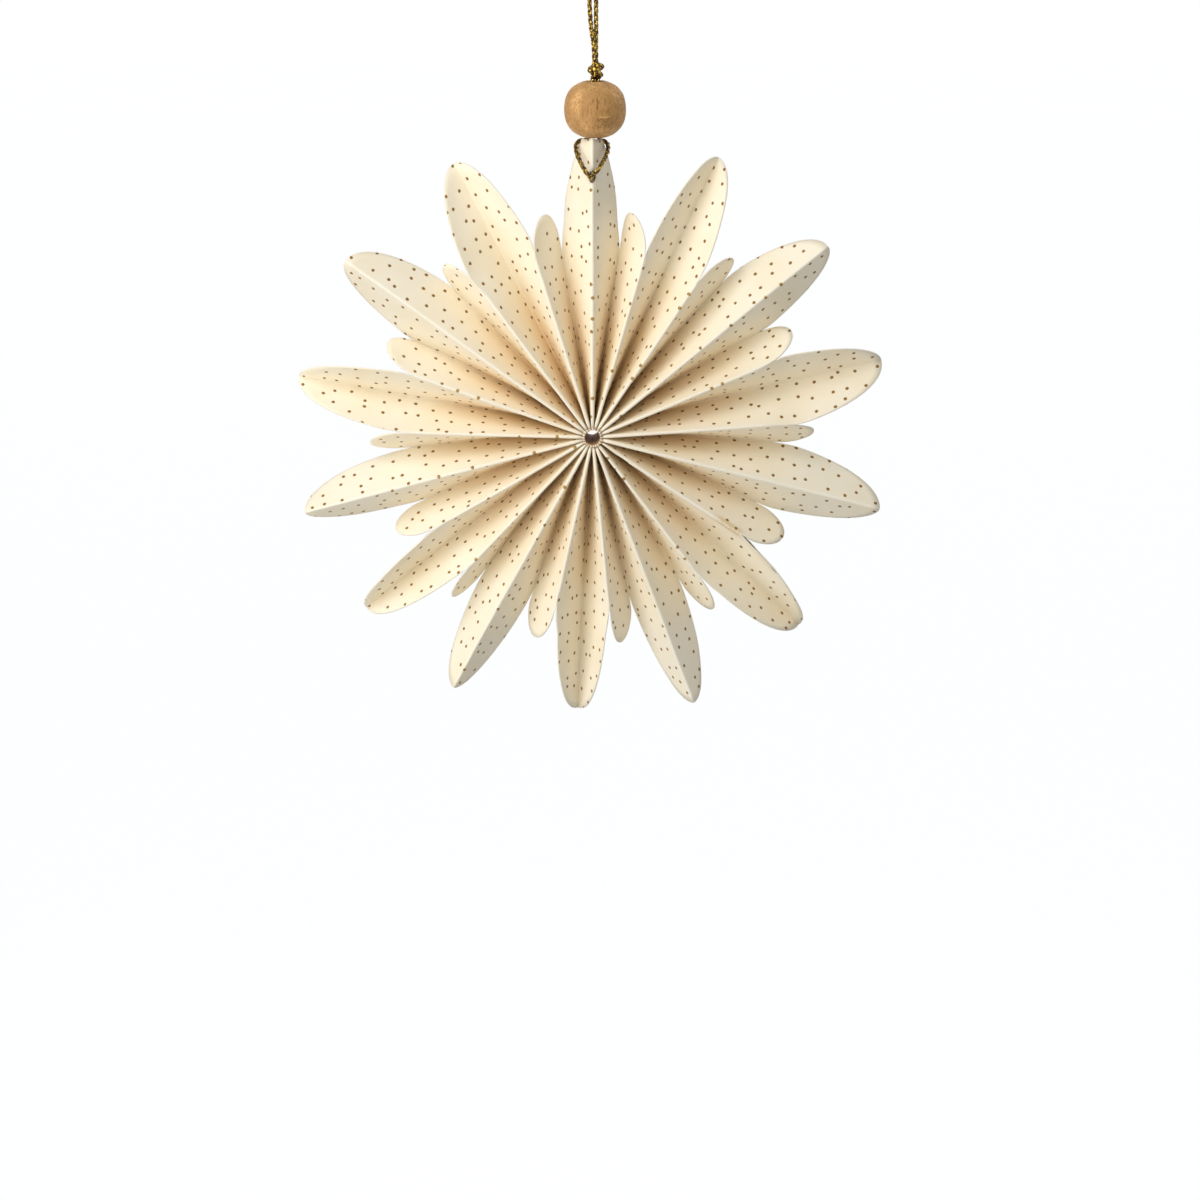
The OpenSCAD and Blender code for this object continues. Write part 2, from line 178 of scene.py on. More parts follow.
loopRoute = [
    (0.45, -0.42, 74.3), (0.42, -0.45, 75.8), (0.35, -0.5, 77.2), (0.15, -0.5, 78.7), (-0.1, -0.42, 80.4),
    (-0.3, -0.3, 82.4), (-0.42, -0.2, 84.4), (-0.52, -0.1, 86.6), (-0.7, 0, 88.8), (-1.1, 0, 90.8),
    (-1.65, 0, 92.4), (-1.98, 0, 93.7), (-1.72, 0, 94.9), (-0.95, 0, 95.7), (0, 0, 95.95),
    (0.95, 0, 95.7), (1.72, 0, 94.9), (1.98, 0, 93.7), (1.7, 0, 92.4), (1.25, 0, 90.8),
    (0.98, 0.02, 88.8), (0.85, 0.1, 86.6), (0.8, 0.2, 84.4), (0.8, 0.3, 82.4), (0.82, 0.38, 80.4),
    (0.8, 0.45, 78.7), (0.78, 0.5, 77.2), (0.8, 0.48, 75.8), (0.82, 0.46, 74.3)]


def smoothLine(points, step):
    # a smooth line through the points, sampled every step
    points = [Vector(p) for p in points]
    ends = [2 * points[0] - points[1]] + points + [2 * points[-1] - points[-2]]
    line = []
    for a, b, c, d in zip(ends, ends[1:], ends[2:], ends[3:]):
        count = max(2, round((c - b).length / step))
        for k in range(count):
            t = k / count
            line.append(0.5 * (2 * b + (c - a) * t + (2 * a - 5 * b + 4 * c - d) * t * t
                               + (3 * b - a - 3 * c + d) * t ** 3))
    return line + [points[-1]]


def carriedFrames(line):
    # a direction square to the line at each point, carried along without twisting
    frames = []
    side = Vector((0.3, 0.2, 1))
    for k, point in enumerate(line):
        ahead = (line[min(k + 1, len(line) - 1)] - line[max(k - 1, 0)]).normalized()
        side = (side - side.dot(ahead) * ahead).normalized()
        frames.append((side, ahead.cross(side)))
    return frames


def addTwistedCord(bm, line, v):
    frames = carriedFrames(line)
    along = [0.0]
    for a, b in zip(line, line[1:]):
        along.append(along[-1] + (b - a).length)
    uvLayer = bm.loops.layers.uv.get("flat") or bm.loops.layers.uv.new("flat")
    for ply in range(v["plies"]):
        verts = flatGrid(bm, len(line), v["sides"] + 1)
        spots = {vert: (round(vert.co.x), round(vert.co.y)) for vert in verts}
        for face in {face for vert in verts for face in vert.link_faces}:
            for loop in face.loops:
                k, j = spots[loop.vert]
                loop[uvLayer].uv = (along[k], j / v["sides"] - along[k] / v["lay"] - ply / v["plies"])
        for vert, (k, j) in spots.items():
            side, other = frames[k]
            twist = 2 * math.pi * (along[k] / v["lay"] + ply / v["plies"])
            angle = 2 * math.pi * j / v["sides"]
            part = along[k] / along[-1]
            size = 1 + v["swell"] * min(1, 5 * part, 5 * (1 - part))
            middle = line[k] + size * v["plyOut"] * (math.cos(twist) * side + math.sin(twist) * other)
            vert.co = middle + size * v["plyRadius"] * (math.cos(angle) * side + math.sin(angle) * other)
        bmesh.ops.remove_doubles(bm, verts=verts, dist=0.001)
    openEdges = [edge for edge in bm.edges if edge.is_boundary]
    bmesh.ops.holes_fill(bm, edges=openEdges, sides=v["sides"])
    bmesh.ops.recalc_face_normals(bm, faces=bm.faces)


def aboveHub(points):
    return [Vector(p) - Vector((0, 0, star["hubDrop"])) for p in points]


def makeCord(v, material):
    line = smoothLine(aboveHub(leftRoute + loopRoute + rightRoute[::-1]), v["step"])
    bm = bmesh.new()
    addTwistedCord(bm, line, v)
    piece = finishPiece("twistedCord", bm, [material],
                        ["cord_lower_left", "cord_lower_right", "cord_hanging_loop"])
    return piece


# Knots: each strand's route through the knot, with heights above the hub or about the knot's middle

topKnot = {
    "middle": (0, 0, 0),
    "swell": 0.5,           # the pressed strands spread
    "strands": [
        [(0.45, -0.42, 74.3), (0.75, -0.7, 73.75), (1.3, -0.65, 73.4), (1.75, 0, 73.25), (1.4, 0.6, 73),
         (0.7, 0.75, 72.8), (0, 0.5, 72.7), (-0.3, -0.1, 72.65), (0, -0.7, 72.4), (0.5, -0.75, 71.9),
         (0.45, -0.4, 71.3), (0.15, 0, 70.9)],
        [(0.82, 0.46, 74.3), (0.55, 0.7, 73.5), (0.9, 0.85, 72.4), (1.3, 0.6, 71.75), (1.55, 0, 71.5),
         (1.35, -0.65, 71.75), (0.95, -0.95, 72.3), (0.4, -0.85, 72.85), (0.2, -0.2, 73.1), (0.6, 0.3, 72.6),
         (1, 0.3, 71.8), (1.15, 0, 70.9)]],
}
backKnot = {
    "middle": (0, -0.7, 51.3),
    "swell": 0.0,
    "strands": [
        [(0, 0, -0.5), (-0.1, 0.5, -0.4), (-0.6, 1, -0.2), (-0.75, 1.5, 0.3), (-0.3, 1.9, 0.75),
         (0.35, 1.7, 0.6), (0.6, 1.2, 0.1), (0.3, 0.8, -0.4), (-0.2, 1, -0.85), (-0.3, 1.5, -1)],
        [(0.05, 0, 0.45), (0.1, 0.5, 0.5), (0.6, 0.9, 0.35), (0.85, 1.4, -0.1), (0.5, 1.9, -0.55),
         (-0.1, 1.9, -0.4), (-0.4, 1.4, 0.1), (-0.2, 1, 0.6), (0.2, 1.2, 1), (0.35, 1.7, 1.15)]],
}


def makeKnot(name, v, nodeName, material):
    bm = bmesh.new()
    pressed = dict(cord, swell=v["swell"])
    for strand in v["strands"]:
        points = [Vector(p) + Vector(v["middle"]) for p in strand]
        addTwistedCord(bm, smoothLine(aboveHub(points), cord["step"]), pressed)
    return finishPiece(name, bm, [material], [nodeName])


# Paper: the flat strip is folded by the same rule as the part's source

folds = 3 * star["petals"]
pitch = math.radians(360 / folds)


def leanAt(fold):
    whole = math.floor(fold / 3)
    part = fold / 3 - whole
    lean = star["lean"]
    closing = (0, 0.5, -0.5)[fold % 3] * star["shortClose"]
    return math.radians(lean[whole % len(lean)] * (1 - part) + lean[(whole + 1) % len(lean)] * part + closing)


foldTurn = [i * pitch + leanAt(i) for i in range(folds + 1)]


def share(r, low, high):
    return min(1, max(0, (r - low) / (high - low)))


def petalOf(face):
    return (face + 1) // 3 % star["petals"]


def opening(face, r):
    # past the notches each long petal opens by its own share, and the cord draws the top one together
    if face % 3 == 1:
        return 1
    petal = petalOf(face)
    pinched = star["pinch"] * share(r, star["pinchStart"], star["topEnd"]) if petal == 0 else 0
    opened = 1 + (star["open"][petal] - 1) * share(r, star["notch"], star["notch"] + star["ease"])
    return opened * (1 - pinched)


def spreadRadius(r):
    notch, ease = star["notch"], star["ease"]
    if r < notch:
        return r
    return r - (r - notch) ** 2 / (2 * ease) if r < notch + ease else notch + ease / 2


def petalEdge(v, tip):
    return star["notch"] + (tip - star["notch"]) * max(0, 1 - v * v) ** (1 / star["outline"])


def edgeRadius(face, f):
    if face % 3 == 1:
        return petalEdge(abs(2 * f - 1), star["shortTip"])
    v = f if face % 3 == 0 else 1 - f
    if petalOf(face) == 0:
        cut = star["topEnd"] + star["topRise"] * max(0, 1 - v / star["topRiseTo"])
        return min(cut, petalEdge(v, star["topTip"]))
    return petalEdge(v, star["longTip"])


def facePoint(f, w, d):
    # section of one face from mountain to valley: across, deep, and the way it faces
    rho = min(star["crease"], 0.49 * w)
    big = math.hypot(w, d - 2 * rho)
    beta = math.acos(2 * rho / big) - math.atan2(d - 2 * rho, w)
    arc = rho * (math.pi / 2 - beta)
    flat = math.sqrt(big * big - 4 * rho * rho)
    s = f * (2 * arc + flat)
    if s < arc:
        a = s / rho
        return rho * math.sin(a), rho - rho * math.cos(a), math.sin(a), math.cos(a)
    if s > arc + flat:
        a = (2 * arc + flat - s) / rho
        return w - rho * math.sin(a), d - rho + rho * math.cos(a), math.sin(a), math.cos(a)
    return (rho * math.cos(beta) + (s - arc) * math.sin(beta),
            rho - rho * math.sin(beta) + (s - arc) * math.cos(beta), math.cos(beta), math.sin(beta))


def sheetPoint(face, f, r, off, stray=0.0):
    even = face % 2 == 0
    w = 2 * spreadRadius(r) * math.sin(pitch / 2) * opening(face, r)
    d = math.sqrt(star["pleat"] ** 2 - w * w)
    across, deep, faceSide, faceOut = facePoint(f if even else 1 - f, w, d)
    turn = 1 if even else -1
    mount = foldTurn[face if even else face + 1]
    step = foldTurn[face + 1] - foldTurn[face]
    if face % 3 == 0:
        middle = foldTurn[face]
    elif face % 3 == 2:
        middle = foldTurn[face + 1]
    else:
        middle = (foldTurn[face] + foldTurn[face + 1]) / 2
    narrow = spreadRadius(r) / r * opening(face, r)
    az = middle + (mount - middle + turn * step * across / w) * narrow + stray / r
    if face % 3 == 1:
        az += math.radians(star["shortBend"][petalOf(face)]) * share(r, star["notch"], star["shortTip"]) ** 2
    side = turn * faceSide * off
    y = star["hubY"] + (star["pleat"] - d) / 2 + star["dish"] * r + deep - faceOut * off
    sine, cosine = math.sin(az), math.cos(az)
    return Vector((r * sine + side * cosine, y, r * cosine - side * sine - star["hubDrop"]))


def stripColumns():
    # every column of the strip: running face number, flat fraction, share of the flap's sink, start radius
    crease = [0, 0.012, 0.024, 0.036, 0.05, 0.08]
    between = [0.13, 0.2, 0.28, 0.37, 0.46, 0.55, 0.64, 0.72, 0.8, 0.87]
    face = crease + between + [1 - f for f in crease[:0:-1]]
    rim = star["holeAcross"] / 2 / star["pleat"]
    tall = (star["topEnd"] - star["notch"]) / (star["topTip"] - star["notch"])
    corner = math.sqrt(1 - tall ** star["outline"])
    beside = [rim * math.sin(math.radians(a)) for a in range(0, 91, 9)] + [rim + 0.015, rim + 0.04]
    beside += sorted(face[7:9] + [corner - 0.02, corner, corner + 0.02] + face[10:])
    before = [0] + [1 - f for f in beside[:0:-1]]
    first, start, inner = star["seamFold"], star["seamStart"], star["hubRadius"]
    columns = [(first - 1, f, 1, start) for f in face[6:]] + [(first, f, 1, start) for f in face[:6]]
    columns += [(first, 0.1, 0.85, 6.0), (first, 0.14, 0.7, 4.0)]
    columns += [(first, 0.2, 0.4, inner), (first, 0.28, 0.1, inner)]
    columns += [(first, f, 0, inner) for f in face if f > 0.36]
    for running in range(first + 1, first + folds):
        use = {0: beside, folds - 1: before}.get(running % folds, face)
        columns += [(running, f, 0, inner) for f in use]
    lip = star["lip"] / star["pleat"]
    columns += [(first + folds, f * lip, 0, start if f else inner) for f in (0, 0.15, 0.3, 0.45, 0.7, 1)]
    return columns


sheetRows = 34
holeRow = 25        # the punched hole lies between this row and the next
heldTo = 0.18       # share of the face from the ridge up to which rows keep to the hole
freeFrom = 0.45     # and from which they run free of it


def fromRidge(column):
    running, f = column[:2]
    return {0: f, folds - 1: 1 - f}.get(running % folds, 1)


def rowRadius(column, row):
    running, f, _, start = column
    edge = edgeRadius(running % folds, f)
    edge -= star["ragged"] * abs(noise.noise(stripSpot(running, f, 0) * 1.7))
    plain = start + (edge - start) * row / (sheetRows - 1)
    away = fromRidge(column)
    if away > freeFrom:
        return plain
    rim = star["holeAcross"] / 2
    beyond = smoothStep(rim, rim + 0.3, away * star["pleat"])
    half = math.sqrt(max(0, rim ** 2 - (away * star["pleat"]) ** 2)) + 0.25 * beyond
    if row <= holeRow:
        held = start + (star["holeHeight"] - half - start) * row / holeRow
    else:
        low = star["holeHeight"] + half
        held = low + (edge - low) * (row - holeRow - 1) / (sheetRows - holeRow - 2)
    keep = 1 - smoothStep(heldTo, freeFrom, away)
    return plain + (held - plain) * keep


def stripSpot(running, f, r):
    # the flat strip rolled into a ring, so that noise meets itself at the seam
    turn = 2 * math.pi * ((running + f) % folds) / folds
    around = star["pleat"] * folds / (2 * math.pi)
    return Vector((around * math.cos(turn), around * math.sin(turn), r))


def makeStar(v, faceMaterial, edgeMaterial):
    columns = stripColumns()
    bm = bmesh.new()
    verts = flatGrid(bm, len(columns), sheetRows)
    rim = v["holeAcross"] / 2 / v["pleat"] + 1e-6
    punched = [face for face in bm.faces
               if all(fromRidge(columns[round(p.co.x)]) < rim for p in face.verts)
               and sorted({round(p.co.y) for p in face.verts}) == [holeRow, holeRow + 1]]
    bmesh.ops.delete(bm, geom=punched, context="FACES")
    grown = bmesh.ops.extrude_face_region(bm, geom=bm.faces[:], use_keep_orig=True)
    for vert in grown["geom"]:
        if isinstance(vert, bmesh.types.BMVert):
            vert.co.z = -1
    spots = {vert: (round(vert.co.x), round(vert.co.y), vert.co.z < -0.5) for vert in bm.verts}
    uvLayer = bm.loops.layers.uv.get("flat") or bm.loops.layers.uv.new("flat")
    for face in bm.faces:
        sides = {spots[vert][2] for vert in face.verts}
        face.material_index = 1 if len(sides) == 2 else 0
        for loop in face.loops:
            k, row, behind = spots[loop.vert]
            running, f = columns[k][:2]
            shift = 700 if True in sides and len(sides) == 1 else 0
            loop[uvLayer].uv = ((running + f) * v["pleat"] + shift, rowRadius(columns[k], row) + shift / 7)
    for vert, (k, row, behind) in spots.items():
        running, f, sink, start = columns[k]
        r = rowRadius(columns[k], row)
        spot = stripSpot(running, f, r)
        loose = smoothStep(v["looseFrom"], v["looseTo"], r)
        bow = v["bow"] * loose * math.sin(math.pi * f) * noise.noise(spot * 0.075)
        stray = v["wander"] * loose * noise.noise(spot * 0.11 + Vector((31, 7, 0)))
        depth = sink * (v["paper"] + v["glueGap"]) * min(1, max(0, (r - v["seamStart"]) / 3 + 1))
        off = (-0.5 if behind else 0.5) * v["paper"] - depth + bow
        vert.co = sheetPoint(running % folds, f, r, off, stray)
    bmesh.ops.remove_doubles(bm, verts=bm.verts, dist=0.0005)
    bmesh.ops.recalc_face_normals(bm, faces=bm.faces)
    return finishPiece("pleatedStar", bm, [faceMaterial, edgeMaterial], ["star_paper"])


# Hub glue: a lining of hardened hot glue with an uneven rim

glue = {
    "bore": 3.1,
    "wallRadius": 1.93,
    "rimRadius": 2.05,
    "rimHeight": 0.26,
    "steps": 168,
    "uneven": 0.32,
    "ridgeWidth": 5.0,      # degrees over which a ridge of the paper shows through
}


def makeGlue(v, material):
    front = star["hubY"] + star["dish"] * star["hubRadius"] - star["paper"] / 2 - star["glueGap"]
    back = star["hubY"] + star["pleat"]
    inner, outer, rim, high = v["bore"] / 2, v["wallRadius"], v["rimRadius"], v["rimHeight"]
    across = [(0.03, 0.3), (0.16, 0.75), (0.35, 1), (0.55, 1), (0.75, 0.85), (0.92, 0.5), (1, 0.2), (0.9, 0)]
    rounded = [(inner + (rim - inner) * part, h) for part, h in across]
    length = back - front
    outline = [(inner, front + length * t / 12) for t in range(12, -1, -1)]
    outline += [(r, front - high * h) for r, h in rounded]
    outline += [(outer, front + length * t / 12) for t in range(0, 13)]
    bm = bmesh.new()
    ring = [bm.verts.new((r, y, -star["hubDrop"])) for r, y in outline]
    edges = [bm.edges.new(pair) for pair in zip(ring, ring[1:] + ring[:1])]
    bmesh.ops.spin(bm, geom=ring + edges, cent=hub, axis=(0, 1, 0), angle=2 * math.pi, steps=v["steps"],
                   use_merge=True, use_duplicate=False)
    ridgeLayer = bm.verts.layers.float.new("ridge")
    for vert in bm.verts:
        out = Vector((vert.co.x, 0, vert.co.z + star["hubDrop"]))
        r = out.length
        turn = math.atan2(out.x, out.z) % (2 * math.pi)
        away = min(abs(turn - ridge) for ridge in foldTurn[::2])
        vert[ridgeLayer] = 1 - smoothStep(0.6 * v["ridgeWidth"], 1.4 * v["ridgeWidth"], math.degrees(away))
        lump = noise.noise(vert.co * 1.3) + 0.5 * noise.noise(vert.co * 3.1)
        if vert.co.y < front + 0.01 and r > inner + 0.1:
            rightward = 0.5 + 0.5 * out.x / r
            swelling = lump * 1.2 - 0.25 + 0.3 * rightward
            vert.co += out / r * v["uneven"] * swelling * (r - inner) / (rim - inner)
            vert.co.y += v["uneven"] * 0.5 * lump
        elif r < inner + 0.1:
            vert.co += out / r * 0.35 * v["uneven"] * (lump - 0.2)
    bmesh.ops.recalc_face_normals(bm, faces=bm.faces)
    return finishPiece("hubGlueRing", bm, [material], ["hub_glue"])


# Bead: turned on its bore, with small dents

bead = {
    "across": 12.2,
    "height": 11.4,
    "bore": 3.4,
    "chamfer": 0.45,
    "squareness": 2.35,
    "middle": (0.6, 0.0, 64.9),
    "steps": 128,
    "dent": 0.05,
}


def makeBead(v, material):
    half, tall, bore = v["across"] / 2, v["height"] / 2, v["bore"] / 2
    power = 2 / v["squareness"]
    mouth = bore + v["chamfer"] * 0.6
    outline = []
    count = 56
    for k in range(count + 1):
        a = math.pi / 2 * (2 * k / count - 1)
        r = half * math.cos(a) ** power if abs(a) < math.pi / 2 - 1e-6 else 0
        if r > mouth:
            outline.append((r, math.copysign(tall * abs(math.sin(a)) ** power, a)))
    top = outline[-1][1]
    rounding = [(mouth - 0.1, top - 0.02), (bore + 0.06, top - 0.22), (bore, top - 0.6)]
    inside = [(bore, top - 0.6 - (2 * top - 1.2) * k / 8) for k in range(1, 8)]
    outline += rounding + inside + [(r, -z) for r, z in rounding[::-1]]
    centre = Vector(aboveHub([v["middle"]])[0])
    bm = bmesh.new()
    ring = [bm.verts.new(centre + Vector((r, 0, z))) for r, z in outline]
    edges = [bm.edges.new(pair) for pair in zip(ring, ring[1:] + ring[:1])]
    bmesh.ops.spin(bm, geom=ring + edges, cent=centre, axis=(0, 0, 1), angle=2 * math.pi, steps=v["steps"],
                   use_merge=True, use_duplicate=False)
    for vert in bm.verts:
        out = vert.co - centre
        level = Vector((out.x, out.y, 0))
        if level.length > bore + 0.2:
            dip = abs(noise.noise(out * 0.35)) + 0.35 * abs(noise.noise(out * 1.4 + Vector((5, 0, 0))))
            vert.co -= out.normalized() * v["dent"] * dip * 2
    bmesh.ops.recalc_face_normals(bm, faces=bm.faces)
    return finishPiece("turnedBead", bm, [material], ["wood_bead"])


# Small helpers for materials

def newMaterial(name, **sockets):
    material = bpy.data.materials.new(name)
    material.use_nodes = True
    tree = material.node_tree
    shader = tree.nodes["Principled BSDF"]
    for socket, value in sockets.items():
        shader.inputs[socket].default_value = value
    return material, tree, shader


def addNode(tree, kind, inputs=None, **settings):
    # a node with its settings, and its inputs given as values or as sockets to link
    node = tree.nodes.new("ShaderNode" + kind)
    for key, value in settings.items():
        setattr(node, key, value)
    for key, value in (inputs or {}).items():
        if isinstance(value, bpy.types.NodeSocket):
            tree.links.new(value, node.inputs[key])
        else:
            node.inputs[key].default_value = value
    return node


def mixColours(tree, factor, first, second, how="MIX"):
    node = addNode(tree, "Mix", data_type="RGBA", blend_type=how)
    for socket, value in (("Factor_Float", factor), ("A_Color", first), ("B_Color", second)):
        target = next(s for s in node.inputs if s.identifier == socket)
        if isinstance(value, bpy.types.NodeSocket):
            tree.links.new(value, target)
        else:
            target.default_value = value if socket == "Factor_Float" else (*value, 1)
    return next(s for s in node.outputs if s.identifier == "Result_Color")


def rangeOf(tree, value, low, high, toLow=0.0, toHigh=1.0, smooth=True):
    node = addNode(tree, "MapRange", {"Value": value, "From Min": low, "From Max": high, "To Min": toLow,
                                      "To Max": toHigh},
                   interpolation_type="SMOOTHSTEP" if smooth else "LINEAR", clamp=True)
    return node.outputs["Result"]


def maths(tree, how, first, second=0.0):
    return addNode(tree, "Math", {0: first, 1: second}, operation=how).outputs["Value"]


def startGroup(name, takes, gives):
    group = bpy.data.node_groups.new(name, "ShaderNodeTree")
    for socket, kind, value in takes:
        made = group.interface.new_socket(name=socket, in_out="INPUT", socket_type=kind)
        if value is not None:
            made.default_value = value
    for socket, kind in gives:
        group.interface.new_socket(name=socket, in_out="OUTPUT", socket_type=kind)
    return group, group.nodes.new("NodeGroupInput"), group.nodes.new("NodeGroupOutput")


def useGroup(tree, group, inputs):
    node = tree.nodes.new("ShaderNodeGroup")
    node.node_tree = group
    for key, value in inputs.items():
        if isinstance(value, bpy.types.NodeSocket):
            tree.links.new(value, node.inputs[key])
        else:
            node.inputs[key].default_value = value
    return node


def buildFineTooth():
    # cloudy unevenness and a fine tooth, for every finish
    group, takes, gives = startGroup(
        "fineTooth",
        [("Vector", "NodeSocketVector", None), ("Tooth Scale", "NodeSocketFloat", 1.0),
         ("Cloud Scale", "NodeSocketFloat", 1.0)],
        [("Height", "NodeSocketFloat"), ("Cloud", "NodeSocketFloat")])
    place = takes.outputs["Vector"]
    tooth = addNode(group, "TexNoise", {"Vector": place, "Scale": takes.outputs["Tooth Scale"], "Detail": 4.0,
                                        "Roughness": 0.6})
    cloud = addNode(group, "TexNoise", {"Vector": place, "Scale": takes.outputs["Cloud Scale"], "Detail": 3.0,
                                        "Roughness": 0.5})
    group.links.new(tooth.outputs["Fac"], gives.inputs["Height"])
    group.links.new(cloud.outputs["Fac"], gives.inputs["Cloud"])
    return group


fineTooth = buildFineTooth()


# Paper finish

paperLook = {
    "light": (0.96, 0.875, 0.70),
    "warm": (0.945, 0.845, 0.645),
    "deep": (0.97, 0.66, 0.31),         # painted warm shade where the folds are deepest, towards the hub
    "edge": (0.95, 0.89, 0.75),
    "ridge": (0.97, 0.93, 0.82),
    "ink": (0.27, 0.135, 0.02),
    "wornInk": (0.52, 0.33, 0.09),
    "stain": (0.72, 0.46, 0.13),        # where glue shows beside the seam
    "stainFrom": 30.0,      # from this radius
    "stainTo": 36.5,
    "dotGap": 3.4,          # average distance between dots
    "dotRadius": 0.36,
    "dotRandom": 0.62,
}


def makePaper(v):
    material, tree, shader = newMaterial("dottedPaper", **{"Roughness": 0.82, "Specular IOR Level": 0.25})
    flat = addNode(tree, "UVMap", uv_map="flat").outputs["UV"]
    place = addNode(tree, "TexCoord").outputs["Object"]
    tooth = useGroup(tree, fineTooth, {"Vector": place, "Tooth Scale": 5200.0, "Cloud Scale": 90.0})
    ivory = mixColours(tree, rangeOf(tree, tooth.outputs["Cloud"], 0.35, 0.65), v["light"], v["warm"])
    along = addNode(tree, "SeparateXYZ", {"Vector": flat})
    fold = maths(tree, "PINGPONG", along.outputs["X"], star["pleat"])
    # painted shade: the base turns deep tan towards the valleys and towards the hub, where the folds are
    # deepest
    inner = rangeOf(tree, along.outputs["Y"], star["hubRadius"], star["notch"], 1.0, 0.0, smooth=False)
    paintedFoldShade = maths(tree, "MULTIPLY", inner, rangeOf(tree, fold, 0.8, star["pleat"], 0.15, 1.0, smooth=False))
    ivory = mixColours(tree, paintedFoldShade, ivory, v["deep"])
    seamPlaces = (star["seamFold"] * star["pleat"], (star["seamFold"] + folds) * star["pleat"])
    fromSeams = [maths(tree, "SUBTRACT", along.outputs["X"], seam) for seam in seamPlaces]
    besides = [maths(tree, "ABSOLUTE", gap) for gap in fromSeams]
    beside = rangeOf(tree, maths(tree, "MINIMUM", *besides), 0.3, 1.6, 1.0, 0.0)
    reach = maths(tree, "MULTIPLY", rangeOf(tree, along.outputs["Y"], v["stainFrom"] - 1, v["stainFrom"] + 2),
                  rangeOf(tree, along.outputs["Y"], v["stainTo"] - 1, v["stainTo"] + 1, 1.0, 0.0))
    stained = maths(tree, "MULTIPLY", maths(tree, "MULTIPLY", beside, reach), 0.6)
    ivory = mixColours(tree, stained, ivory, v["stain"])
    wobble = addNode(tree, "TexNoise", {"Vector": flat, "Scale": 2.2, "Detail": 1.0})
    moved = addNode(tree, "VectorMath", {0: wobble.outputs["Color"], 1: (0.5, 0.5, 0.5)},
                    operation="SUBTRACT")
    pushed = addNode(tree, "VectorMath", {0: moved.outputs["Vector"], "Scale": 0.22}, operation="SCALE")
    placed = addNode(tree, "VectorMath", {0: flat, 1: pushed.outputs["Vector"]}, operation="ADD")
    dots = addNode(tree, "TexVoronoi", {"Vector": placed.outputs["Vector"], "Scale": 1 / v["dotGap"],
                                        "Randomness": v["dotRandom"]}, voronoi_dimensions="2D")
    near = v["dotRadius"] / v["dotGap"]
    dot = rangeOf(tree, dots.outputs["Distance"], near * 0.82, near * 1.12, 1.0, 0.0)
    onCrease = rangeOf(tree, fold, 0.1, 0.4, 1.0, 0.0)
    scuff = addNode(tree, "TexNoise", {"Vector": flat, "Scale": 3.0, "Detail": 3.0})
    worn = maths(tree, "MULTIPLY", onCrease, rangeOf(tree, scuff.outputs["Fac"], 0.35, 0.6))
    paperTone = mixColours(tree, maths(tree, "MULTIPLY", worn, 0.6), ivory, v["ridge"])
    inkTone = mixColours(tree, worn, v["ink"], v["wornInk"])
    printed = mixColours(tree, dot, paperTone, inkTone)
    tree.links.new(printed, shader.inputs["Base Color"])
    rough = rangeOf(tree, dot, 0.0, 1.0, 0.84, 0.5, smooth=False)
    tree.links.new(rough, shader.inputs["Roughness"])
    bump = addNode(tree, "Bump", {"Height": tooth.outputs["Height"], "Strength": 0.3, "Distance": 0.00004})
    tree.links.new(bump.outputs["Normal"], shader.inputs["Normal"])
    return material


def makePaperEdge(v):
    material, tree, shader = newMaterial("cutPaperEdge", **{"Roughness": 0.9, "Specular IOR Level": 0.2})
    place = addNode(tree, "TexCoord").outputs["Object"]
    tooth = useGroup(tree, fineTooth, {"Vector": place, "Tooth Scale": 9000.0, "Cloud Scale": 1500.0})
    tone = mixColours(tree, tooth.outputs["Cloud"], v["warm"], v["edge"])
    tree.links.new(tone, shader.inputs["Base Color"])
    bump = addNode(tree, "Bump", {"Height": tooth.outputs["Height"], "Strength": 0.4, "Distance": 0.00004})
    tree.links.new(bump.outputs["Normal"], shader.inputs["Normal"])
    return material


# Cord finish: strips of gold film wound round each ply, dark between them, with painted shade in the grooves
# between the plies

cordLook = {
    "gold": (0.70, 0.455, 0.075),
    "deepGold": (0.085, 0.047, 0.008),
    # dark core between the turns of film, also used as painted shade in the grooves between plies
    "gap": (0.02, 0.011, 0.003),
    "stripGap": 0.42,       # distance between turns of the film
}


def makeGold(v):
    material, tree, shader = newMaterial("goldThread", **{"Roughness": 0.34})
    flat = addNode(tree, "SeparateXYZ", {"Vector": addNode(tree, "UVMap", uv_map="flat").outputs["UV"]})
    turns = maths(tree, "MULTIPLY", flat.outputs["X"], 1 / v["stripGap"])
    wound = maths(tree, "ADD", turns, flat.outputs["Y"])
    phase = maths(tree, "PINGPONG", wound, 0.5)
    place = addNode(tree, "TexCoord").outputs["Object"]
    tooth = useGroup(tree, fineTooth, {"Vector": place, "Tooth Scale": 9000.0, "Cloud Scale": 1700.0})
    outward = maths(tree, "COSINE", maths(tree, "MULTIPLY", flat.outputs["Y"], 2 * math.pi))
    # painted shade: where a ply faces the cord's middle, in the grooves between plies, the gap colour replaces
    # the film
    grooveShadeMask = rangeOf(tree, outward, -0.25, 0.6)
    film = maths(tree, "MULTIPLY", rangeOf(tree, phase, 0.06, 0.18), grooveShadeMask)
    tone = mixColours(tree, rangeOf(tree, tooth.outputs["Cloud"], 0.44, 0.6), v["deepGold"], v["gold"])
    tree.links.new(mixColours(tree, film, v["gap"], tone), shader.inputs["Base Color"])
    tree.links.new(rangeOf(tree, film, 0.0, 1.0, 0.4, 1.0, smooth=False), shader.inputs["Metallic"])
    tree.links.new(rangeOf(tree, tooth.outputs["Height"], 0.3, 0.7, 0.2, 0.45), shader.inputs["Roughness"])
    bump = addNode(tree, "Bump", {"Height": phase, "Strength": 0.8, "Distance": 0.00008})
    tree.links.new(bump.outputs["Normal"], shader.inputs["Normal"])
    return material


# Wood finish

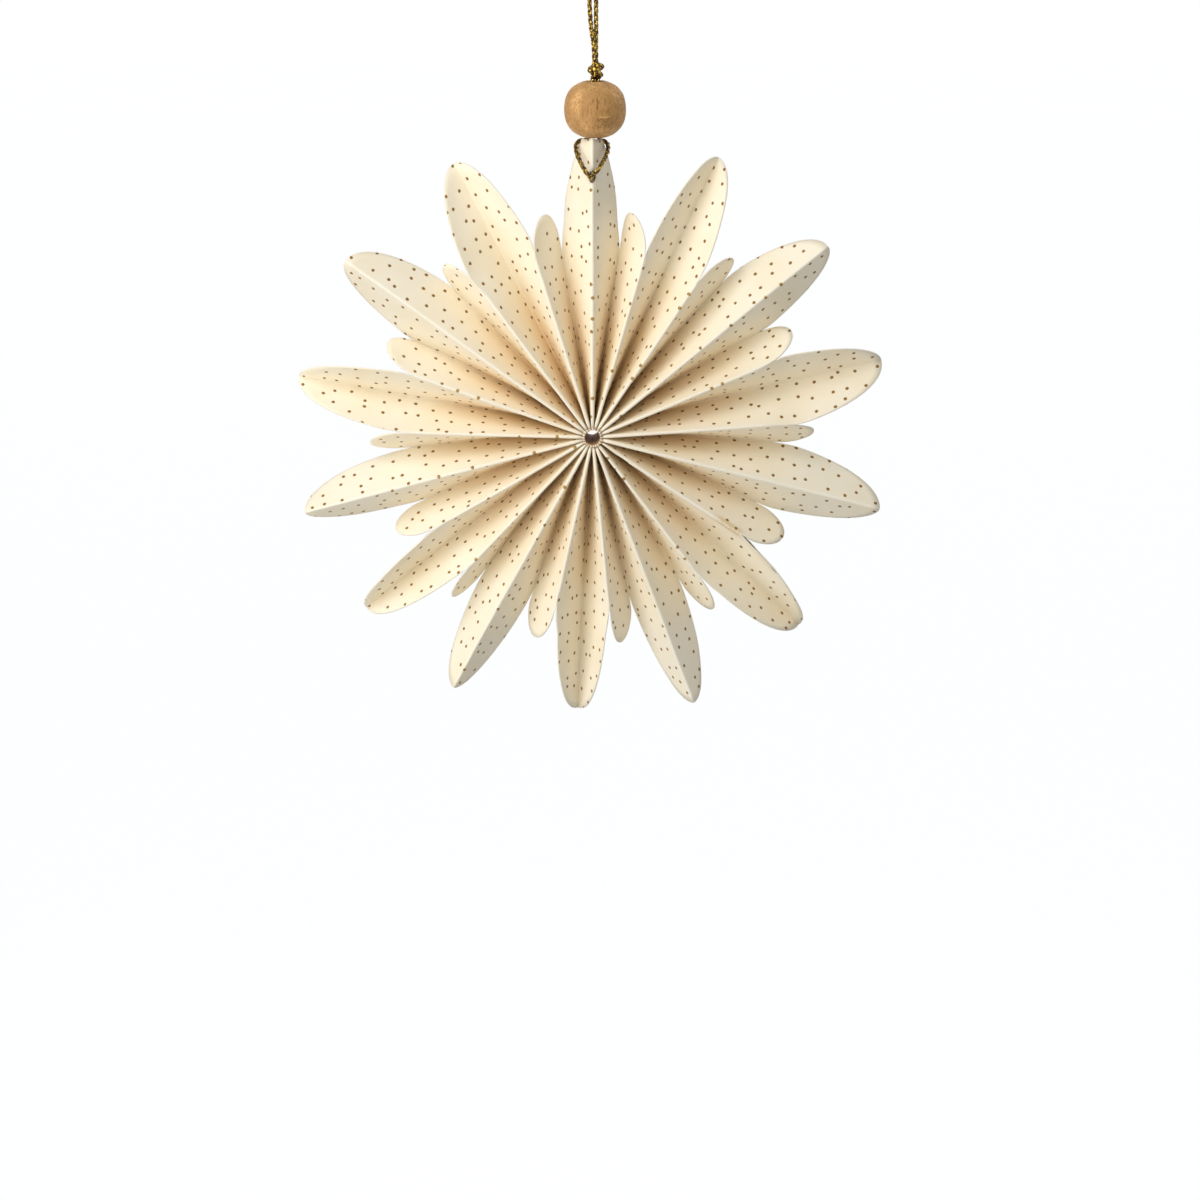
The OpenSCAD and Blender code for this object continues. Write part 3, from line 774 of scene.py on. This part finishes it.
woodLook = {
    "light": (0.75, 0.435, 0.165),
    "mid": (0.47, 0.245, 0.078),
    "dark": (0.22, 0.105, 0.03),
    # marks at the front in millimetres: across from and to, height above the hub from and to
    "scratch": (0.9, 1.12, 65.0, 67.9),
    "weal": (1.3, 3.9, 63.85, 64.1),
    "rough": (0.4, 4.2, 61.6, 64.0),
}


def frontMark(tree, where, wavy, front, span):
    # a mask that is 1 inside a span across and up the front of the bead, with a wavy outline
    mask = front
    drop = star["hubDrop"]
    for axis, low, high in (("X", span[0], span[1]), ("Z", span[2] - drop, span[3] - drop)):
        away = maths(tree, "SUBTRACT", maths(tree, "ADD", where.outputs[axis], wavy), (low + high) / 2 * mm)
        half = (high - low) / 2
        inside = rangeOf(tree, maths(tree, "ABSOLUTE", away), 0.6 * half * mm, (half + 0.06) * mm, 1.0, 0.0)
        mask = maths(tree, "MULTIPLY", mask, inside)
    return mask


def makeWood(v):
    material, tree, shader = newMaterial("beadWood", **{"Roughness": 0.55, "Specular IOR Level": 0.35})
    place = addNode(tree, "TexCoord").outputs["Object"]
    grainWay = addNode(tree, "Mapping", {"Vector": place, "Scale": (1.0, 1.0, 0.3)})
    tooth = useGroup(tree, fineTooth, {"Vector": place, "Tooth Scale": 3600.0, "Cloud Scale": 1500.0})
    grain = addNode(tree, "TexNoise", {"Vector": grainWay.outputs["Vector"], "Scale": 3000.0, "Detail": 4.0,
                                       "Roughness": 0.6})
    patches = addNode(tree, "TexNoise", {"Vector": grainWay.outputs["Vector"], "Scale": 260.0, "Detail": 2.0})
    tone = mixColours(tree, rangeOf(tree, patches.outputs["Fac"], 0.35, 0.65), v["mid"], v["light"])
    tone = mixColours(tree, rangeOf(tree, tooth.outputs["Cloud"], 0.42, 0.62, 0.0, 0.7), tone, v["mid"])
    tone = mixColours(tree, rangeOf(tree, grain.outputs["Fac"], 0.33, 0.49, 0.6, 0.0), tone, v["dark"])
    where = addNode(tree, "SeparateXYZ", {"Vector": place})
    wavy = maths(tree, "MULTIPLY", maths(tree, "SUBTRACT", tooth.outputs["Cloud"], 0.5), 0.5 * mm)
    front = rangeOf(tree, where.outputs["Y"], -0.5 * mm, 0.5 * mm, 1.0, 0.0)
    marks = [frontMark(tree, where, wavy, front, v[key]) for key in ("scratch", "weal", "rough")]
    scratch, weal, rough = marks
    speckle = maths(tree, "MULTIPLY", rough, rangeOf(tree, tooth.outputs["Height"], 0.45, 0.55, 0.85, 0.0))
    marked = maths(tree, "MAXIMUM", maths(tree, "MULTIPLY", scratch, 0.85), speckle)
    tone = mixColours(tree, marked, tone, v["dark"])
    tone = mixColours(tree, maths(tree, "MULTIPLY", weal, 0.8), tone, v["light"])
    tree.links.new(tone, shader.inputs["Base Color"])
    tree.links.new(rangeOf(tree, grain.outputs["Fac"], 0.3, 0.7, 0.7, 0.46), shader.inputs["Roughness"])
    height = maths(tree, "ADD", grain.outputs["Fac"], maths(tree, "MULTIPLY", tooth.outputs["Height"], 0.8))
    height = maths(tree, "ADD", maths(tree, "SUBTRACT", height, scratch), weal)
    bump = addNode(tree, "Bump", {"Height": height, "Strength": 0.7, "Distance": 0.0002})
    tree.links.new(bump.outputs["Normal"], shader.inputs["Normal"])
    return material


# Glue finish

glueLook = {
    "clear": (0.90, 0.76, 0.55),        # over a ridge of the paper
    # painted shade of the deep valleys between ridges, seen through the glue, broken up by random cloudiness
    "cloudy": (0.42, 0.25, 0.13),
    "boreShade": (0.50, 0.29, 0.145),      # painted shade on the lining behind the rim, inside the bore
}


def makeHotGlue(v):
    material, tree, shader = newMaterial("hotGlue", **{"Roughness": 0.4, "Specular IOR Level": 0.25})
    place = addNode(tree, "TexCoord").outputs["Object"]
    tooth = useGroup(tree, fineTooth, {"Vector": place, "Tooth Scale": 3000.0, "Cloud Scale": 1300.0})
    ridge = addNode(tree, "Attribute", attribute_name="ridge").outputs["Fac"]
    cloudy = rangeOf(tree, tooth.outputs["Cloud"], 0.4, 0.65, 0.0, 0.35)
    shown = maths(tree, "SUBTRACT", ridge, cloudy)
    # away from a ridge the glue takes the cloudy colour, painted shade of the valley behind it
    tone = mixColours(tree, rangeOf(tree, shown, 0.0, 0.9), v["cloudy"], v["clear"])
    # painted shade: behind the front of the hub the lining turns to the bore shade colour
    behind = rangeOf(tree, addNode(tree, "SeparateXYZ", {"Vector": place}).outputs["Y"],
                     (star["hubY"] - 0.1) * mm, (star["hubY"] + 0.5) * mm)
    tree.links.new(mixColours(tree, behind, tone, v["boreShade"]), shader.inputs["Base Color"])
    gloss = maths(tree, "ADD", rangeOf(tree, tooth.outputs["Height"], 0.3, 0.7, 0.25, 0.45),
                  maths(tree, "MULTIPLY", behind, 0.3))
    tree.links.new(gloss, shader.inputs["Roughness"])
    bump = addNode(tree, "Bump", {"Height": tooth.outputs["Height"], "Strength": 0.3, "Distance": 0.0001})
    tree.links.new(bump.outputs["Normal"], shader.inputs["Normal"])
    return material


paperFace, paperEdge = makePaper(paperLook), makePaperEdge(paperLook)
goldThread, beadWood, hotGlue = makeGold(cordLook), makeWood(woodLook), makeHotGlue(glueLook)
print("materials ready")

knots = [makeKnot("topKnotCord", topKnot, "top_knot", goldThread),
         makeKnot("backKnotCord", backKnot, "back_knot", goldThread)]
makeCord(cord, goldThread)
makeStar(star, paperFace, paperEdge)
makeGlue(glue, hotGlue)
makeBead(bead, beadWood)


# Studio: a pale floor far below, a white surround and soft lamps

studio = {
    "floorDrop": 600.0,
    "floorSide": 12000.0,
    "floorTone": (0.85, 0.85, 0.85),
    "floorGlow": 0.55,      # lifts the bare floor to white and leaves shadows on it
    "surround": 0.50,       # light from all round, where 1 shows a colour as written
    "surroundTone": (0.96, 0.98, 1.0),
    "lamps": [
        # place round the hub: turn to the right, rise, distance, side of the lamp, brightness, colour
        ("keyLamp", -36, 42, 290, 180, 0.52, (1.0, 0.985, 0.955)),
        ("lowLamp", -52, -14, 290, 180, 0.34, (1.0, 0.975, 0.94)),
    ],
}


def seenDirectly(tree):
    # 1 for the rays that show the surround itself, 0 for those that light the pieces
    seen = addNode(tree, "LightPath")
    shown = maths(tree, "MAXIMUM", seen.outputs["Is Camera Ray"], seen.outputs["Is Glossy Ray"])
    return maths(tree, "MAXIMUM", shown, seen.outputs["Is Transmission Ray"])


def makeStudio(v):
    bm = bmesh.new()
    bmesh.ops.create_grid(bm, x_segments=8, y_segments=8, size=v["floorSide"] / 2 * mm)
    bmesh.ops.translate(bm, verts=bm.verts, vec=(0, 0, -v["floorDrop"] * mm))
    mesh = bpy.data.meshes.new("paleFloor")
    bm.to_mesh(mesh)
    bm.free()
    floor = bpy.data.objects.new("paleFloor", mesh)
    bpy.context.scene.collection.objects.link(floor)
    material, tree, shader = newMaterial("paleFloor", **{"Base Color": (*v["floorTone"], 1), "Roughness": 0.9})
    strength = maths(tree, "MULTIPLY", seenDirectly(tree), v["floorGlow"])
    glow = addNode(tree, "Emission", {"Color": (1, 1, 1, 1), "Strength": strength})
    both = addNode(tree, "AddShader", {0: shader.outputs["BSDF"], 1: glow.outputs["Emission"]})
    tree.links.new(both.outputs["Shader"], tree.nodes["Material Output"].inputs["Surface"])
    mesh.materials.append(material)

    world = bpy.data.worlds.new("paleSurround")
    bpy.context.scene.world = world
    world.use_nodes = True
    tree = world.node_tree
    soft, white = tree.nodes["Background"], tree.nodes.new("ShaderNodeBackground")
    soft.inputs["Color"].default_value = (*v["surroundTone"], 1)
    soft.inputs["Strength"].default_value = v["surround"]
    white.inputs["Color"].default_value = (1, 1, 1, 1)
    both = addNode(tree, "MixShader", {0: seenDirectly(tree), 1: soft.outputs["Background"],
                                       2: white.outputs["Background"]})
    tree.links.new(both.outputs["Shader"], tree.nodes["World Output"].inputs["Surface"])

    for name, turn, rise, distance, side, bright, colour in v["lamps"]:
        turn, rise = math.radians(turn), math.radians(rise)
        away = Vector((math.sin(turn) * math.cos(rise), -math.cos(turn) * math.cos(rise), math.sin(rise)))
        lamp = bpy.data.objects.new(name, bpy.data.lights.new(name, "AREA"))
        lamp.data.size = side * mm
        lamp.data.energy = bright * (math.pi * distance * mm) ** 2
        lamp.data.color = colour
        lamp.location = (hub + away * distance) * mm
        lamp.rotation_mode = "QUATERNION"
        lamp.rotation_quaternion = (-away).to_track_quat("-Z", "Y")
        bpy.context.scene.collection.objects.link(lamp)


makeStudio(studio)
bpy.context.scene.view_settings.view_transform = "Standard"
print("studio ready")
